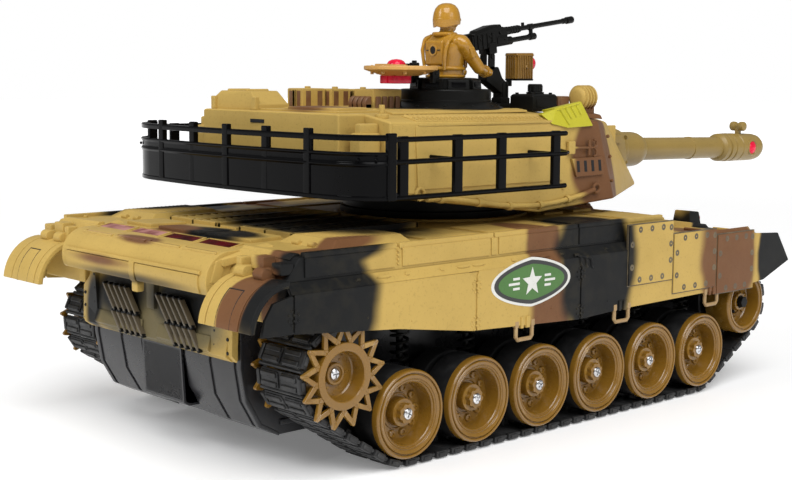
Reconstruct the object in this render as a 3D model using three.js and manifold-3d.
// Toy battle tank with a radio control: hull, running gear, turret, gun and roof fittings.
// Millimetres. +X points forward along the gun, +Y to the tank's left, +Z up; the ground is z = 0.
// The origin is midway between the rear flaps and the muzzle, on the ground.
import * as THREE from 'three';
import { mergeVertices } from 'three/addons/utils/BufferGeometryUtils.js';
import { ConvexGeometry } from 'three/addons/geometries/ConvexGeometry.js';
import Module from 'manifold-3d';

const wasm = await Module();
wasm.setup();

// ---- driving dimensions ----
const GAP = 0.3;                        // clearance between touching pieces
const REAR_X = -156.6;                  // rear face of the mudflaps
const MUZZLE_X = 318.6;                 // front of the muzzle
const CENTRE_X = (REAR_X + MUZZLE_X) / 2;
const HALF_WIDTH = 95.8;                // outer face of the armour plates

const WHEELS = 6;
const FIRST_WHEEL_X = -71.6;
const WHEEL_PITCH = 40.86;
const BELT = 3.4;                       // belt thickness under the wheels
const WHEEL_R = 18.8;
const WHEEL_Z = BELT + GAP + WHEEL_R;
const WHEEL_FACE = 92.4;                // outer face of wheels, from the middle plane
const WHEEL_BACK = 63.4;

const SPROCKET = { x: -108, z: 43.9, tip: 22.2, root: 17.2, teeth: 13, drum: 13.5 };
const IDLER = { x: 172, z: 42.9, r: 16.5 };
const BELT_IN = 62;                     // inner and outer edges of the track belt
const BELT_OUT = 90.8;
const LINK_PITCH = 9;
const LINK_GROOVE = { depth: 1.5, width: 2.4 };
const INNER_STEP = 4.5;                 // longest step along the belt's inner face on a bend

const TUB = { side: 56, wall: 2, floor: 14, top: 66 };
const ARM = { in: 57.2, out: 61.2, pivotDx: 18.5, pivotZ: 31.5, pinR: 2 };
const DECK = { z: 93, thick: 2, side: 91, floor: 66.3 };
const SKIRT = { in: 93.3, out: 95 };

const TURRET_X = 28;                    // turret ring axis
const RING_R = 42;
const ROOF_Z = 145;
const TURRET_REAR = -75;
const GUN_PIVOT = { x: 126, z: 120.5 };
const GUN_DROOP = THREE.MathUtils.degToRad(1.2);
const CUPOLA = { x: 18, y: -20 };
const LID_HINGE = { x: 3, z: 162.6 };
const MG = { x: 47, y: -20, z: 176, tilt: THREE.MathUtils.degToRad(8) };

// ---- colours: sand, brown and black plastic, ochre wheels ----
const COLOURS = {
  sand: [0xc4a55f, 0.5],
  brown: [0x78553c, 0.5],
  black: [0x2d2f30, 0.45],
  tub: [0x4b4b4e, 0.55],
  ochre: [0xa5732d, 0.4],
  gun: [0x967d41, 0.45],
  figure: [0xbe8c37, 0.4],
  gloss: [0x101010, 0.25],
  rubber: [0x1c1c1c, 0.7],
  red: [0xc02030, 0.2],
  board: [0x1e6b3a, 0.6],
  motor: [0x9a9da0, 0.35],
  lime: [0xc8c028, 0.5],
};

// ---- solids ----
function dropFlatTriangles(geometry) {
  const index = geometry.index.array;
  const kept = [];
  for (let i = 0; i < index.length; i += 3) {
    const [a, b, c] = [index[i], index[i + 1], index[i + 2]];
    if (a !== b && b !== c && c !== a) kept.push(a, b, c);
  }
  geometry.setIndex(kept);
}

function signedVolume(position, index) {
  const [a, b, c] = [new THREE.Vector3(), new THREE.Vector3(), new THREE.Vector3()];
  let total = 0;
  for (let i = 0; i < index.length; i += 3) {
    a.fromBufferAttribute(position, index[i]);
    b.fromBufferAttribute(position, index[i + 1]);
    c.fromBufferAttribute(position, index[i + 2]);
    total += a.dot(b.cross(c)) / 6;
  }
  return total;
}

// A closed three.js geometry as a solid, with its faces turned outwards.
function solid(geometry) {
  const bare = geometry.index ? geometry.toNonIndexed() : geometry.clone();
  bare.deleteAttribute('normal');
  bare.deleteAttribute('uv');
  const merged = mergeVertices(bare, 1e-4);
  dropFlatTriangles(merged);
  const index = Uint32Array.from(merged.index.array);
  if (signedVolume(merged.attributes.position, index) < 0) {
    for (let i = 0; i < index.length; i += 3) [index[i], index[i + 1]] = [index[i + 1], index[i]];
  }
  const vertProperties = Float32Array.from(merged.attributes.position.array);
  return new wasm.Manifold(new wasm.Mesh({ numProp: 3, vertProperties, triVerts: index }));
}

function geometryOf(body) {
  const mesh = body.getMesh();
  const geometry = new THREE.BufferGeometry();
  geometry.setAttribute('position', new THREE.BufferAttribute(mesh.vertProperties, 3));
  geometry.setIndex(new THREE.BufferAttribute(mesh.triVerts, 1));
  geometry.computeVertexNormals();
  return geometry;
}

const join = (...bodies) => bodies.reduce((all, body) => all.add(body));
const cut = (body, ...tools) => tools.reduce((rest, tool) => rest.subtract(tool), body);

function box(x, y, z) {
  const geometry = new THREE.BoxGeometry(
    Math.abs(x[1] - x[0]), Math.abs(y[1] - y[0]), Math.abs(z[1] - z[0]));
  geometry.translate((x[0] + x[1]) / 2, (y[0] + y[1]) / 2, (z[0] + z[1]) / 2);
  return solid(geometry);
}

// The convex solid around a set of [x, y, z] points.
function hull(points) {
  return solid(new ConvexGeometry(points.map((p) => new THREE.Vector3(...p))));
}

const mirrored = (points) => points.flatMap(([x, y, z]) => [[x, y, z], [x, -y, z]]);

function extrude(outline, depth, axes) {
  const shape = new THREE.Shape(outline.map(([u, v]) => new THREE.Vector2(u, v)));
  const geometry = new THREE.ExtrudeGeometry(shape, { depth, bevelEnabled: false });
  geometry.applyMatrix4(new THREE.Matrix4().makeBasis(...axes));
  return geometry;
}

const X = new THREE.Vector3(1, 0, 0);
const Y = new THREE.Vector3(0, 1, 0);
const Z = new THREE.Vector3(0, 0, 1);

// An [x, z] outline made solid from y0 to y1.
function prismY(outline, y0, y1) {
  const geometry = extrude(outline, Math.abs(y1 - y0), [X, Z, Y.clone().negate()]);
  geometry.translate(0, Math.max(y0, y1), 0);
  return solid(geometry);
}

// A [y, z] outline made solid from x0 to x1.
function prismX(outline, x0, x1) {
  const geometry = extrude(outline, x1 - x0, [Y, Z, X]);
  geometry.translate(x0, 0, 0);
  return solid(geometry);
}

// An [x, y] outline made solid from z0 to z1.
function prismZ(outline, z0, z1) {
  const geometry = extrude(outline, z1 - z0, [X, Y, Z]);
  geometry.translate(0, 0, z0);
  return solid(geometry);
}

// A [radius, height] profile turned about an axis through the point at.
function turned(profile, axis, at, sides) {
  const points = profile.map(([r, h]) => new THREE.Vector2(r, h));
  const geometry = new THREE.LatheGeometry(points, sides);
  if (axis === 'x') geometry.rotateZ(-Math.PI / 2);
  if (axis === 'z') geometry.rotateX(Math.PI / 2);
  geometry.translate(...at);
  return solid(geometry);
}

function rod(axis, at, r, h0, h1, sides = 12) {
  const [low, high] = [Math.min(h0, h1), Math.max(h0, h1)];
  return turned([[0, low], [r, low], [r, high], [0, high]], axis, at, sides);
}

// ---- scene graph: every mesh is one named piece ----
const tank = new THREE.Group();
tank.position.x = -CENTRE_X;

function piece(name, body, colour) {
  const [color, roughness] = COLOURS[colour];
  const metalness = colour === 'motor' ? 0.8 : 0;
  const mesh = new THREE.Mesh(
    geometryOf(body), new THREE.MeshStandardMaterial({ color, roughness, metalness }));
  mesh.name = name;
  tank.add(mesh);
}

// Runs a builder once per side: right is y < 0.
function bothSides(build) {
  build('right', -1);
  build('left', 1);
}

// ---- track belt: a loop around the sprocket, the idler and the end road wheels ----
const lastWheelX = FIRST_WHEEL_X + (WHEELS - 1) * WHEEL_PITCH;
const beltCircles = [
  { x: FIRST_WHEEL_X, z: WHEEL_Z, r: WHEEL_R + GAP },
  { x: lastWheelX, z: WHEEL_Z, r: WHEEL_R + GAP },
  { x: IDLER.x, z: IDLER.z, r: IDLER.r + GAP },
  { x: SPROCKET.x, z: SPROCKET.z, r: SPROCKET.root + GAP },
];

// Arcs and straights of the tight loop, counter-clockwise seen from -Y.
function beltPath(circles) {
  const angles = circles.map((from, i) => {
    const to = circles[(i + 1) % circles.length];
    const [dx, dz] = [to.x - from.x, to.z - from.z];
    return Math.atan2(dz, dx) - Math.acos((from.r - to.r) / Math.hypot(dx, dz));
  });
  const on = (c, a) => ({ x: c.x + c.r * Math.cos(a), z: c.z + c.r * Math.sin(a), a });
  const stretches = [];
  circles.forEach((circle, i) => {
    const start = angles[(i + circles.length - 1) % circles.length];
    let end = angles[i];
    while (end < start) end += 2 * Math.PI;
    stretches.push({ circle, start, end, length: circle.r * (end - start) });
    const next = circles[(i + 1) % circles.length];
    const [p, q] = [on(circle, end), on(next, end)];
    stretches.push({ p, q, a: end, length: Math.hypot(q.x - p.x, q.z - p.z) });
  });
  return stretches;
}

const stretches = beltPath(beltCircles);
const beltLength = stretches.reduce((sum, s) => sum + s.length, 0);

// The point at a distance along the loop, moved outwards by lift.
function beltPoint(distance, lift) {
  let rest = distance;
  for (const s of stretches) {
    if (rest <= s.length + 1e-9) {
      const t = rest / s.length;
      if (!s.circle) {
        return [
          s.p.x + (s.q.x - s.p.x) * t + lift * Math.cos(s.a),
          s.p.z + (s.q.z - s.p.z) * t + lift * Math.sin(s.a)];
      }
      const a = s.start + (s.end - s.start) * t;
      const r = s.circle.r + lift;
      return [s.circle.x + r * Math.cos(a), s.circle.z + r * Math.sin(a)];
    }
    rest -= s.length;
  }
  return beltPoint(0, lift);
}

function trackBelt(side) {
  const links = Math.round(beltLength / LINK_PITCH);
  const pitch = beltLength / links;
  const outer = [];
  for (let i = 0; i < links; i += 1) {
    const start = i * pitch;
    const pad = start + LINK_GROOVE.width;
    outer.push(beltPoint(start, BELT - LINK_GROOVE.depth));
    outer.push(beltPoint(pad, BELT - LINK_GROOVE.depth));
    outer.push(beltPoint(pad, BELT));
    outer.push(beltPoint(start + pitch - 1e-3, BELT));
  }
  const inner = stretches.filter((s) => s.circle).flatMap(({ circle, start, end, length }) => {
    const steps = Math.ceil(length / INNER_STEP);
    return Array.from({ length: steps + 1 }, (_, i) => {
      const a = start + ((end - start) * i) / steps;
      return [circle.x + circle.r * Math.cos(a), circle.z + circle.r * Math.sin(a)];
    });
  });
  const [y0, y1] = [side * BELT_IN, side * BELT_OUT];
  return cut(prismY(outer, y0, y1), prismY(inner, y0 - side, y1 + side));
}

// ---- running gear ----
function roadWheel(x, side) {
  const [face, back] = [WHEEL_FACE, WHEEL_BACK];
  const bore = ARM.pinR + 0.4;
  const profile = [
    [bore, back], [WHEEL_R, back], [WHEEL_R, face], [WHEEL_R - 3.4, face],
    [WHEEL_R - 5, face - 8], [5.4, face - 8], [5, face - 3.5], [bore, face - 3.5], [bore, back],
  ];
  return turned(profile.map(([r, h]) => [r, side * h]), 'y', [x, 0, WHEEL_Z], 18);
}

function suspensionArm(x, side) {
  const pivot = [x + ARM.pivotDx, ARM.pivotZ];
  const bar = hull([[x, WHEEL_Z], pivot].flatMap(([px, pz]) => [
    [px - 3, side * ARM.in, pz], [px + 3, side * ARM.in, pz],
    [px, side * ARM.in, pz - 4], [px, side * ARM.in, pz + 4],
    [px - 3, side * ARM.out, pz], [px + 3, side * ARM.out, pz],
    [px, side * ARM.out, pz - 4], [px, side * ARM.out, pz + 4],
  ]));
  const bore = rod('y', [pivot[0], 0, pivot[1]], ARM.pinR + GAP, side * 50, side * 70, 10);
  const axle = rod('y', [x, 0, WHEEL_Z], ARM.pinR, side * (ARM.out - 1), side * (WHEEL_FACE - 3.8), 10);
  const collar = rod('y', [x, 0, WHEEL_Z], 4.4, side * (ARM.out - 1), side * (WHEEL_BACK - 0.4), 10);
  return join(cut(bar, bore), axle, collar);
}

function toothedRing(y0, y1) {
  const outline = [];
  for (let i = 0; i < SPROCKET.teeth; i += 1) {
    const turn = (i * 2 * Math.PI) / SPROCKET.teeth;
    const at = (r, a) => [SPROCKET.x + r * Math.cos(a), SPROCKET.z + r * Math.sin(a)];
    outline.push(at(SPROCKET.tip, turn - 0.035), at(SPROCKET.tip, turn + 0.035));
    outline.push(at(SPROCKET.root - 1.2, turn + Math.PI / SPROCKET.teeth));
  }
  return prismY(outline, y0, y1);
}

function sprocket(side) {
  const centre = [SPROCKET.x, 0, SPROCKET.z];
  const rings = join(
    toothedRing(side * 91.2, side * 92.9),
    toothedRing(side * 59.4, side * 61.6),
    rod('y', centre, SPROCKET.drum, side * 60, side * 92, 16));
  const dish = rod('y', centre, 9.6, side * 86, side * 95, 16);
  const hub = rod('y', centre, 4.5, side * 80, side * 90.5, 12);
  const shaft = rod('y', centre, 2.5, side * 48, side * 62, 12);
  return join(cut(rings, dish), hub, shaft);
}

function idler(side) {
  const profile = [
    [3.4, 66], [IDLER.r, 66], [IDLER.r, 91], [IDLER.r - 1, 92], [IDLER.r - 3, 92],
    [IDLER.r - 4.6, 84], [5.2, 84], [4.6, 88.5], [3.4, 88.5], [3.4, 66],
  ];
  return turned(profile.map(([r, h]) => [r, side * h]), 'y', [IDLER.x, 0, IDLER.z], 20);
}

// ---- hull ----
const tubOutline = [
  [-131, TUB.top], [-131, 44], [-128.5, 30], [-122, 19], [-112, TUB.floor], [150, TUB.floor],
  [178, 28], [196, 52], [198, TUB.top],
];

function inset(outline, by, centre) {
  return outline.map(([u, v]) => [
    u + Math.sign(centre[0] - u) * by,
    v >= TUB.top ? v + 5 : v + Math.sign(centre[1] - v) * by]);
}

const COVER = { x: [-34, 62], y: [-32, 32] };
const SWITCH = { x: [98, 116], y: [-5, 5], travel: 5 };

function lowerHull() {
  const shell = cut(
    prismY(tubOutline, -TUB.side, TUB.side),
    prismY(inset(tubOutline, TUB.wall, [30, 60]), -TUB.side + TUB.wall, TUB.side - TUB.wall));
  const grow = (range, by) => [range[0] - by, range[1] + by];
  const openings = [
    box(grow(COVER.x, GAP), grow(COVER.y, GAP), [TUB.floor - 5, TUB.floor + 5]),
    box(SWITCH.x, SWITCH.y, [TUB.floor - 5, TUB.floor + 5]),
    rod('y', [SPROCKET.x, 0, SPROCKET.z], 3.2, -70, 70, 12),
  ];
  const bumper = hull(mirrored([
    [-132.5, 15, 46.6], [-131, 15, 22.6], [-128.5, 15, 21], [-113, 15, 21], [-129.3, 15, 46.6],
    [-113, 15, 26],
  ]));
  let hullBody = join(cut(shell, ...openings), cut(bumper, prismY(inset(tubOutline, 1, [30, 60]), -60, 60)));
  for (const side of [-1, 1]) {
    const idlerPin = rod('y', [IDLER.x, 0, IDLER.z], 3, side * (TUB.side - 1), side * 88, 10);
    hullBody = join(hullBody, idlerPin);
    for (let i = 0; i < WHEELS; i += 1) {
      const x = FIRST_WHEEL_X + i * WHEEL_PITCH + ARM.pivotDx;
      hullBody = join(hullBody, rod(
        'y', [x, 0, ARM.pivotZ], ARM.pinR, side * (TUB.side - 1), side * (ARM.out + 0.8), 8));
    }
  }
  return hullBody;
}

// Side view of the deck: rounded tail, flat deck, gentle front slope to the nose.
const deckOutline = [
  [-146, DECK.floor + 9.3], [-148, 80], [-147, 85], [-143.5, 89.5], [-137, 92], [-120, DECK.z],
  [96, DECK.z], [130, 88], [186, 80.5], [200, 69], [198, DECK.floor], [-132, DECK.floor],
  [-132, DECK.floor + 9.3],
];
const LENS = { x0: -140, x1: -124.5, width: 19.5, pitch: 25.9, skew: -7 };

function lensOutline(i, grow) {
  const y = (i - 1.5) * LENS.pitch;
  const [x0, x1] = [LENS.x0 - grow, LENS.x1 + grow];
  const half = LENS.width / 2 + grow;
  return [
    [x0, y - half + LENS.skew / 2], [x1, y - half - LENS.skew / 2],
    [x1, y + half - LENS.skew / 2], [x0, y + half + LENS.skew / 2],
  ];
}

function upperHull() {
  const middle = prismY(deckOutline, -TUB.side, TUB.side);
  const hollow = prismY([
    [-144, 77.5], [-145.5, 82], [-141, 88.5], [-134, DECK.z - 3], [94, DECK.z - DECK.thick],
    [128, 86], [184, 78.5], [196, 68.5], [194, 60], [-129.5, 60], [-129.5, 77.5],
  ], -TUB.side + 2, TUB.side - 2);
  let shell = cut(middle, hollow);
  for (const side of [-1, 1]) {
    const section = (x0, x1, top, rear) => hull([
      [x0 + rear, side * 55, top], [x0, side * 55, DECK.floor], [x1, side * 55, top],
      [x1, side * 55, DECK.floor], [x0 + rear, side * DECK.side, top], [x0, side * DECK.side, 83],
      [x0, side * DECK.side, DECK.floor], [x1, side * DECK.side, top],
      [x1, side * DECK.side, DECK.floor],
    ]);
    const sponson = section(-137, 100, DECK.z, 6);
    const space = box([-129, 98], [side * 50, side * 89], [68.3, DECK.z - 2]);
    const fender = hull([
      [99, side * 55, DECK.z - 8], [99, side * 55, 68.3], [99, side * DECK.side, DECK.z - 10],
      [99, side * DECK.side, 68.3], [186, side * 55, 79], [186, side * DECK.side, 77.5],
      [197, side * 55, 70], [197, side * DECK.side, 68.5], [186, side * 55, 68.3],
      [186, side * DECK.side, 68.3],
    ]);
    shell = join(cut(join(shell, sponson), space), fender);
    const raised = hull([
      [-108, side * 47, 92], [-108, side * 84, 92], [-62, side * 84, 92], [-62, side * 50, 92],
      [-101, side * 52, 96.5], [-101, side * 79, 96.5], [-66, side * 79, 96.5], [-66, side * 54, 96.5],
    ]);
    shell = join(shell, raised);
  }
  const grilles = [-27, 27].map((y) => box([-92, -20], [y - 19, y + 19], [92, 95]));
  const hatch = hull([
    [100, -24, 90], [100, 24, 90], [132, -24, 85], [132, 24, 85],
    [102, -21, 95], [102, 21, 95], [130, -21, 91.5], [130, 21, 91.5],
  ]);
  shell = join(shell, ...grilles, hatch);
  const ring = rod('z', [TURRET_X, 0, 0], RING_R + 0.8, 80, 100, 32);
  const lensHoles = [0, 1, 2, 3].map((i) => prismZ(lensOutline(i, GAP), 80, 100));
  return cut(shell, ring, ...lensHoles);
}

function tailLens() {
  const strip = box([LENS.x0 - 1, LENS.x1 + 1], [-52, 52], [86.5, 88]);
  const windows = [0, 1, 2, 3].map((i) => prismZ(lensOutline(i, 0), 87, 91.8));
  return join(strip, ...windows);
}

const skirtOutline = [
  [-150.4, 64.6], [-135, 64.2], [-81, 59.8], [-38.5, 53.8], [32, 50.6], [66, 52], [171, 53.3],
  [183, 54.4], [207, 63], [195.6, 78.6], [172, 80], [-134, 79.5], [-145, 77], [-149, 71],
];
const PLATES = [
  { x: [66.5, 101], z: [62.6, 91.4] },
  { x: [102.2, 138], z: [55.4, 84.8] },
  { x: [139.2, 172], z: [51.4, 81.6] },
];

function skirt(side) {
  const sheet = prismY(skirtOutline, side * SKIRT.in, side * SKIRT.out);
  const ledge = prismX(
    [[SKIRT.out, 79.4], [91.6, 83.6], [91.6, 81.4], [SKIRT.in, 78.6]].map(([y, z]) => [side * y, z]),
    -136, 172);
  const plates = PLATES.map(({ x, z }) => box(x, [side * (SKIRT.out - 0.9), side * HALF_WIDTH], z));
  const loops = [-5.5, 63, 136].map((x) => cut(
    box([x - 6, x + 6], [side * (SKIRT.in + 0.3), side * SKIRT.out], [45, 56]),
    box([x - 4, x + 4], [side * 90, side * 99], [47, 52])));
  return join(sheet, ledge, ...plates, ...loops);
}

function mudflap(side) {
  const outer = [[-137.6, 85], [-145, 84], [-151.5, 80.3], [-155, 74.5], [REAR_X, 66]];
  const inner = [[REAR_X + 1.9, 66], [-153.2, 74], [-150.2, 78.9], [-144.6, 82.2], [-137.6, 83]];
  const sheet = prismY([...outer, ...inner], side * 62.2, side * HALF_WIDTH);
  const knuckles = [70, 82].map((y) => box([-142.5, -137.6], [side * (y - 3), side * (y + 3)], [83.5, 89]));
  return join(sheet, ...knuckles);
}

function exhaustPanel() {
  const plate = prismY([
    [-138, 49.4], [-134.6, 47], [-131.4, 47], [-131.4, 65.8], [-132.4, 65.8], [-132.4, 75.2], [-136, 75.2],
  ], -54.6, 54.6);
  const cheeks = [-1, 1].map((side) => box([-135, -131.4], [side * 54, side * 57.6], [47, 65.9]));
  const tools = [];
  for (const middle of [-26, 26]) {
    for (let slot = 0; slot < 4; slot += 1) {
      const y = middle + (slot - 1.5) * 6;
      tools.push(prismX([[y - 4, 52], [y - 1.6, 52], [y + 2, 72], [y - 0.4, 72]], -140, -134.4));
    }
  }
  return join(cut(plate, ...tools), ...cheeks);
}

// ---- inside the hull ----
function gearbox() {
  const centre = [SPROCKET.x, 0, SPROCKET.z];
  const motors = [-24, 24].map((y) => rod('x', [0, y, 38], 9, -96, -62, 16));
  return join(
    box([-122, -92], [-46, 46], [28, 58]),
    rod('y', centre, 7, -47.2, 47.2, 14),
    ...motors);
}

function circuitBoard() {
  return join(
    box([70, 130], [-32, 32], [42, 43.6]),
    box([78, 92], [-20, -6], [43, 47]),
    box([100, 110], [4, 22], [43, 51]),
    rod('z', [120, -18, 0], 4, 43, 54, 12));
}

function switchKnob() {
  const [x0, x1] = [SWITCH.x[0] + 1, SWITCH.x[1] - 1 - SWITCH.travel];
  return join(
    box([x0, x1], [SWITCH.y[0] + 1, SWITCH.y[1] - 1], [12.6, 17]),
    box([SWITCH.x[0] - 4, SWITCH.x[1] + 2], [SWITCH.y[0] - 2, SWITCH.y[1] + 2], [16.4, 18.4]));
}

// ---- turret ----
const turretOuter = mirrored([
  [TURRET_REAR, 48, ROOF_Z], [36, 44, ROOF_Z], [TURRET_REAR, 65.5, 142], [78, 65.5, 139.5],
  [141, 20, 136.5], [118, 24, 140.5],
  [TURRET_REAR, 67, 112], [TURRET_REAR, 40, 111], [33, 68, 97.8], [33, 20, 97.6], [90, 67, 101],
  [168.6, 20, 101],
]);

// The same hull moved in by one wall for the hollow.
function shrunk(points, wall) {
  const middle = { x: 40, z: 120 };
  return points.map(([x, y, z]) => [
    x + Math.sign(middle.x - x) * (x > 100 ? wall * 2.4 : wall),
    y - Math.sign(y) * wall,
    z + Math.sign(middle.z - z) * wall]);
}

function turretShell() {
  const corner = (side) => box([TURRET_REAR - 1, -60], [side * 49.5, side * 70], [108, 150]);
  const cap = (side) => join(
    box([-72, -59], [side * 53, side * 60], [122, 137]),
    box([-70.5, -59], [side * 54.5, side * 58.5], [136, 140.5]));
  const mouth = box([128, 175], [-18, 18], [104, 150]);
  const floorHole = rod('z', [TURRET_X, 0, 0], RING_R + 3.9, 90, 118, 32);
  const caps = join(cap(-1), cap(1));
  const solidShell = cut(hull(turretOuter), corner(-1), corner(1));
  const roofBoxes = [
    hull([
      [-70, 16, 144], [-70, 46, 144], [-52, 16, 144], [-52, 46, 144],
      [-69, 20, 151.5], [-69, 42, 151.5], [-55, 20, 151.5], [-55, 42, 151.5]]),
    ...[[-26, 30], [-12, 26], [2, 22]].map(([x, y]) => box([x - 6, x + 6], [y - 4, y + 4], [144, 151])),
    box([-34, -16], [-16, -2], [144, 150]),
  ];
  const cavity = cut(hull(shrunk(turretOuter, 2.4)),
    box([TURRET_REAR - 1, -57], [-47, -72], [100, 150]),
    box([TURRET_REAR - 1, -57], [47, 72], [100, 150]));
  return cut(join(cut(solidShell, cavity), caps, ...roofBoxes), mouth, floorHole);
}

// Turns on the hull: a drum below the shell, a neck through the deck and a flange under it.
function turretBase() {
  const profile = [
    [36, 84], [RING_R + 4, 84], [RING_R + 4, 90.4], [RING_R, 90.4], [RING_R, 93.6],
    [RING_R + 3.6, 93.6], [RING_R + 3.6, 104.5], [36, 104.5], [36, 84],
  ];
  return turned(profile, 'z', [TURRET_X, 0, 0], 24);
}

// Plan view of the rear basket, right half, outer face.
const basketCurve = [[-77, -88.4], [-84.5, -86], [-91, -79], [-95, -66], [-97.6, -34], [-98.4, 0]];

function band(curve, thick, z0, z1) {
  const full = [...curve, ...curve.slice(0, -1).reverse().map(([x, y]) => [x, -y])];
  const inner = full.map(([x, y]) => [x + thick * (y === 88.4 || y === -88.4 ? 0 : 0.9),
    y - Math.sign(y) * thick * (Math.abs(y) > 70 ? 0.9 : 0)]);
  return prismZ([...full, ...inner.reverse()], z0, z1);
}

function stowageBasket() {
  const floor = cut(
    prismZ([
      [-75.5, -87], [-84, -85], [-90, -78.5], [-94, -66], [-96.6, -34], [-97.4, 0], [-96.6, 34], [-94, 66],
      [-90, 78.5], [-84, 85], [-75.5, 87],
    ], 112.4, 114.4));
  const posts = [-54, -27, 0, 27, 54].map((y) => {
    const x = -98.6 + Math.abs(y) * 0.045;
    return box([x, x + 2.6], [y - 2, y + 2], [113, 139.6]);
  });
  const corners = [-1, 1].map((side) => box([-81, -77], [side * 86, side * 88.6], [112.6, 137.6]));
  const struts = [-1, 1].map((side) => box([-77, -75.4], [side * 50, side * 66.5], [112.4, 116]));
  return join(
    floor, band(basketCurve, 1.6, 112.4, 130.6), band(basketCurve, 2, 135.4, 137.6),
    ...posts, ...corners, ...struts);
}

function sideRail(side) {
  const [inner, outer] = [82.6, 84.6];
  const bars = [[134, 136], [125.2, 127], [110.4, 112.4]].map(
    ([z0, z1]) => box([-74.6, 38], [side * inner, side * outer], [z0, z1]));
  const posts = [-71.8, -58, -25, 6, 33].map(
    (x) => box([x - 2.4, x + 2.4], [side * (inner - 0.6), side * inner], [110.4, 136.6]));
  const stays = [-58, 33].map((x) => box([x - 1.5, x + 1.5], [side * 68, side * (inner - 0.4)], [120, 123]));
  return join(...bars, ...posts, ...stays);
}

// ---- gun: mantlet block, sleeve, barrel and muzzle on one drooping axis ----
const barrelProfile = [
  [0, 10], [10, 10], [10, 74], [7.4, 78.5], [6.6, 80], [6.3, 158], [7.2, 158.4], [8.4, 160],
  [8.6, 176], [8.2, 186], [6, 191], [0, MUZZLE_X - GUN_PIVOT.x],
];

function drooping(body) {
  const angle = THREE.MathUtils.radToDeg(GUN_DROOP);
  return body.translate([-GUN_PIVOT.x, 0, -GUN_PIVOT.z]).rotate([0, angle, 0])
    .translate([GUN_PIVOT.x, 0, GUN_PIVOT.z]);
}

const LENS_X = GUN_PIVOT.x + 181;

function gunBarrel() {
  const mantlet = hull(mirrored([
    [GUN_PIVOT.x - 8, 17.2, 113], [GUN_PIVOT.x - 8, 17.2, 128], [GUN_PIVOT.x + 6, 17.2, 107],
    [GUN_PIVOT.x + 6, 17.2, 132], [GUN_PIVOT.x + 30, 17.2, 109], [GUN_PIVOT.x + 20, 17.2, 132],
    [GUN_PIVOT.x + 42, 14, 112], [GUN_PIVOT.x + 38, 14, 130],
  ]));
  const tube = turned(barrelProfile, 'x', [GUN_PIVOT.x, 0, GUN_PIVOT.z], 16);
  const sight = join(
    box([296, 300], [-1.2, 1.2], [122, 131]),
    rod('y', [298, 0, 131.6], 2.2, -4, 4, 10));
  const lensHole = rod('y', [LENS_X, 0, GUN_PIVOT.z], 3.4, -20, 20, 12);
  return cut(join(mantlet, drooping(tube), sight), drooping(lensHole));
}

function muzzleLens() {
  return drooping(rod('y', [LENS_X, 0, GUN_PIVOT.z], 3, -8.6, 8.6, 12));
}

// ---- cupola, figure and machine gun ----
function cupolaRing() {
  const profile = [
    [12, 145.4], [26, 145.4], [22, 148], [22, 154.8], [16.6, 154.8], [16.6, 160.2], [12, 160.2], [12, 145.4],
  ];
  const base = turned(profile, 'z', [CUPOLA.x, CUPOLA.y, 0], 20);
  const foot = box([52, 62], [CUPOLA.y - 4, CUPOLA.y + 4], [145.4, 147.4]);
  const neck = box([38, 54], [CUPOLA.y - 4, CUPOLA.y + 4], [145.4, 149]);
  const hingeEars = [-7, 7].map((dy) => box(
    [LID_HINGE.x - 1.6, LID_HINGE.x + 3], [CUPOLA.y + dy - 1.2, CUPOLA.y + dy + 1.2], [158, 164]));
  return join(base, foot, neck, ...hingeEars);
}

function hatchLid() {
  const centre = [CUPOLA.x - 29.5, CUPOLA.y, 0];
  const disc = turned(
    [[0, 160.9], [8, 160.9], [17.4, 163.8], [17.4, 165.6], [0, 166.2]], 'z', centre, 24);
  const trimmed = cut(disc, box([LID_HINGE.x - 2.4, 30], [-60, 20], [150, 170]));
  const tongue = box([LID_HINGE.x - 5, LID_HINGE.x + 1.5], [CUPOLA.y - 5.4, CUPOLA.y + 5.4], [161.6, 163.8]);
  return join(trimmed, tongue);
}

function soldier() {
  const { x, y } = CUPOLA;
  const waist = turned([[0, 148], [7.5, 148], [8.5, 166], [0, 166]], 'z', [x, y, 0], 14);
  const chest = hull([
    [x - 7, y - 9, 164], [x + 6, y - 9, 164], [x - 7, y + 9, 164], [x + 6, y + 9, 164],
    [x - 6.5, y - 12.5, 176], [x + 5.5, y - 12.5, 176], [x - 6.5, y + 12.5, 176], [x + 5.5, y + 12.5, 176],
    [x - 4, y - 7, 181], [x + 4, y - 7, 181], [x - 4, y + 7, 181], [x + 4, y + 7, 181],
  ]);
  const arm = (side) => join(
    hull([
      [x - 4, y + side * 10, 176.5], [x + 4, y + side * 10, 176.5], [x, y + side * 15, 176],
      [x + 7, y + side * 10, 163], [x + 13, y + side * 10, 165.5], [x + 10, y + side * 15.5, 164.5],
    ]),
    hull([
      [x + 7, y + side * 10, 162.6], [x + 8, y + side * 15, 163], [x + 11, y + side * 12, 166.5],
      [x + 20, y + side * 7, 161.4], [x + 20, y + side * 11.5, 161.4], [x + 20, y + side * 9, 164.6],
    ]));
  const neck = rod('z', [x, y, 0], 3.6, 178, 188, 10);
  const head = solid(new THREE.SphereGeometry(6.4, 12, 8).scale(1.08, 0.98, 1.12).translate(x + 0.5, y, 188.9));
  return join(waist, chest, arm(-1), arm(1), neck, head);
}

function tiltedAlongGun(body) {
  const angle = THREE.MathUtils.radToDeg(MG.tilt);
  return body.rotate([0, -angle, 0]).translate([MG.x, MG.y, MG.z]);
}

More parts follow.
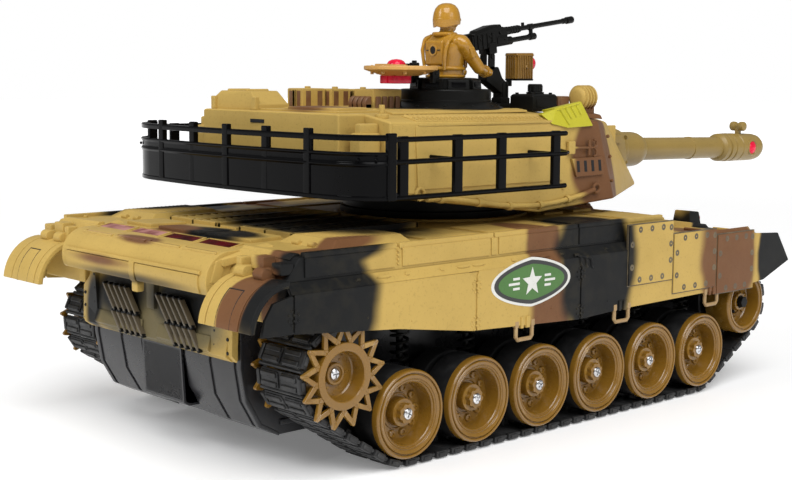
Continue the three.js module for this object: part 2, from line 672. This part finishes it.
function machineGun() {
  const receiver = box([-12, 12], [-3, 3], [-1.5, 8.5]);
  const barrel = rod('x', [0, 0, 5.6], 1.3, 10, 65, 10);
  const shroud = rod('x', [0, 0, 5.6], 2.1, 11, 24, 10);
  const rearRod = rod('x', [0, 0, 6.6], 0.9, -19, -11, 8);
  const gasTube = rod('x', [0, 0, 0.6], 1.4, 10, 35, 10);
  const link = box([31, 33.4], [-0.9, 0.9], [0.6, 5.6]);
  const trunnion = box([-4, 4], [-1.6, 1.6], [-4.6, 0]);
  return tiltedAlongGun(join(receiver, barrel, shroud, rearRod, gasTube, link, trunnion));
}

function gunMount() {
  const post = join(
    box([54, 60], [MG.y - 3, MG.y + 3], [147.7, 158.6]),
    hull([
      [54, MG.y - 2.5, 157], [54, MG.y + 2.5, 157], [60, MG.y - 2.5, 157], [60, MG.y + 2.5, 157],
      [45, MG.y - 2.5, 164], [45, MG.y + 2.5, 164], [49, MG.y - 2.5, 165], [49, MG.y + 2.5, 165],
    ]));
  const fork = [-1, 1].map((side) => box(
    [45, 49], [MG.y + side * 2, MG.y + side * 3.4], [163, 173]));
  const bridge = box([45, 49], [MG.y - 3.4, MG.y + 3.4], [163, 166]);
  return join(post, ...fork, bridge);
}

function ammoBox() {
  const body = box([60.6, 73], [-27, -19.5], [159, 173]);
  const bracket = box([60.3, 62], [-23, -20.2], [156, 160]);
  const ribs = [62, 64.6, 67.2, 69.8].map((x) => box([x, x + 1.3], [-27.6, -26.5], [159.6, 172.4]));
  return join(body, bracket, ...ribs);
}

function sightBox() {
  return join(
    box([52, 70], [-46, -31], [144.6, 152.4]),
    rod('z', [62, -38.5, 0], 3.4, 152, 157.4, 14),
    box([71, 79.4], [-46, -35], [144.6, 151.4]),
    box([69, 72], [-45, -36], [144.6, 150]));
}

function smokeLauncher(side) {
  const at = [0, side * 50, 150.6];
  const drum = rod('x', at, 5.2, 80, 94, 14);
  const ribs = [82, 90].map((x) => rod('x', at, 5.9, x, x + 1.6, 14));
  const foot = box([83, 91], [side * 48, side * 52], [142.3, 148]);
  return join(drum, ...ribs, foot);
}

function sideBox() {
  return hull([
    [56, -56, 143.4], [78, -56, 142.6], [56, -63.6, 141.2], [78, -63.6, 140.8],
    [58, -56, 151], [76, -56, 151], [57, -66, 146], [77, -66, 146],
  ]);
}

// ---- assembly ----
piece('lower_hull', lowerHull(), 'tub');
piece('upper_hull', upperHull(), 'sand');
piece('tail_light_lens', tailLens(), 'red');
piece('rear_exhaust_panel', exhaustPanel(), 'sand');
piece('battery_pack', box([-28, 56], [-27, 27], [16.6, 37]), 'board');
piece('battery_cover', box(COVER.x, COVER.y, [TUB.floor, TUB.floor + 2]), 'tub');
piece('drive_gearbox', gearbox(), 'motor');
piece('circuit_board', circuitBoard(), 'board');
piece('power_switch', switchKnob(), 'gloss');
piece('turret_motor', join(
  rod('z', [90, 0, 0], 9, 56, 84, 16), rod('z', [90, 0, 0], 3, 83, 88, 10)), 'motor');

bothSides((name, side) => {
  piece(`skirt_${name}`, skirt(side), 'sand');
  piece(`mudflap_${name}`, mudflap(side), 'sand');
  piece(`track_${name}`, trackBelt(side), 'rubber');
  piece(`sprocket_${name}`, sprocket(side), 'ochre');
  piece(`idler_${name}`, idler(side), 'ochre');
  for (let i = 0; i < WHEELS; i += 1) {
    const x = FIRST_WHEEL_X + i * WHEEL_PITCH;
    piece(`road_wheel_${name}_${i + 1}`, roadWheel(x, side), 'ochre');
    piece(`suspension_arm_${name}_${i + 1}`, suspensionArm(x, side), 'black');
  }
});

piece('turret_shell', turretShell(), 'sand');
piece('turret_base', turretBase(), 'black');
piece('stowage_basket', stowageBasket(), 'gloss');
bothSides((name, side) => piece(`side_rail_${name}`, sideRail(side), 'gloss'));
piece('gun_barrel', gunBarrel(), 'gun');
piece('muzzle_lens', muzzleLens(), 'red');
piece('cupola_ring', cupolaRing(), 'black');
piece('hatch_lid', hatchLid(), 'sand');
piece('soldier', soldier(), 'figure');
piece('machine_gun', machineGun(), 'gloss');
piece('mg_mount', gunMount(), 'gloss');
piece('ammo_box', ammoBox(), 'ochre');
piece('sight_box', sightBox(), 'black');
piece('smoke_launcher_right', smokeLauncher(-1), 'ochre');
piece('side_box', sideBox(), 'lime');

export default tank;
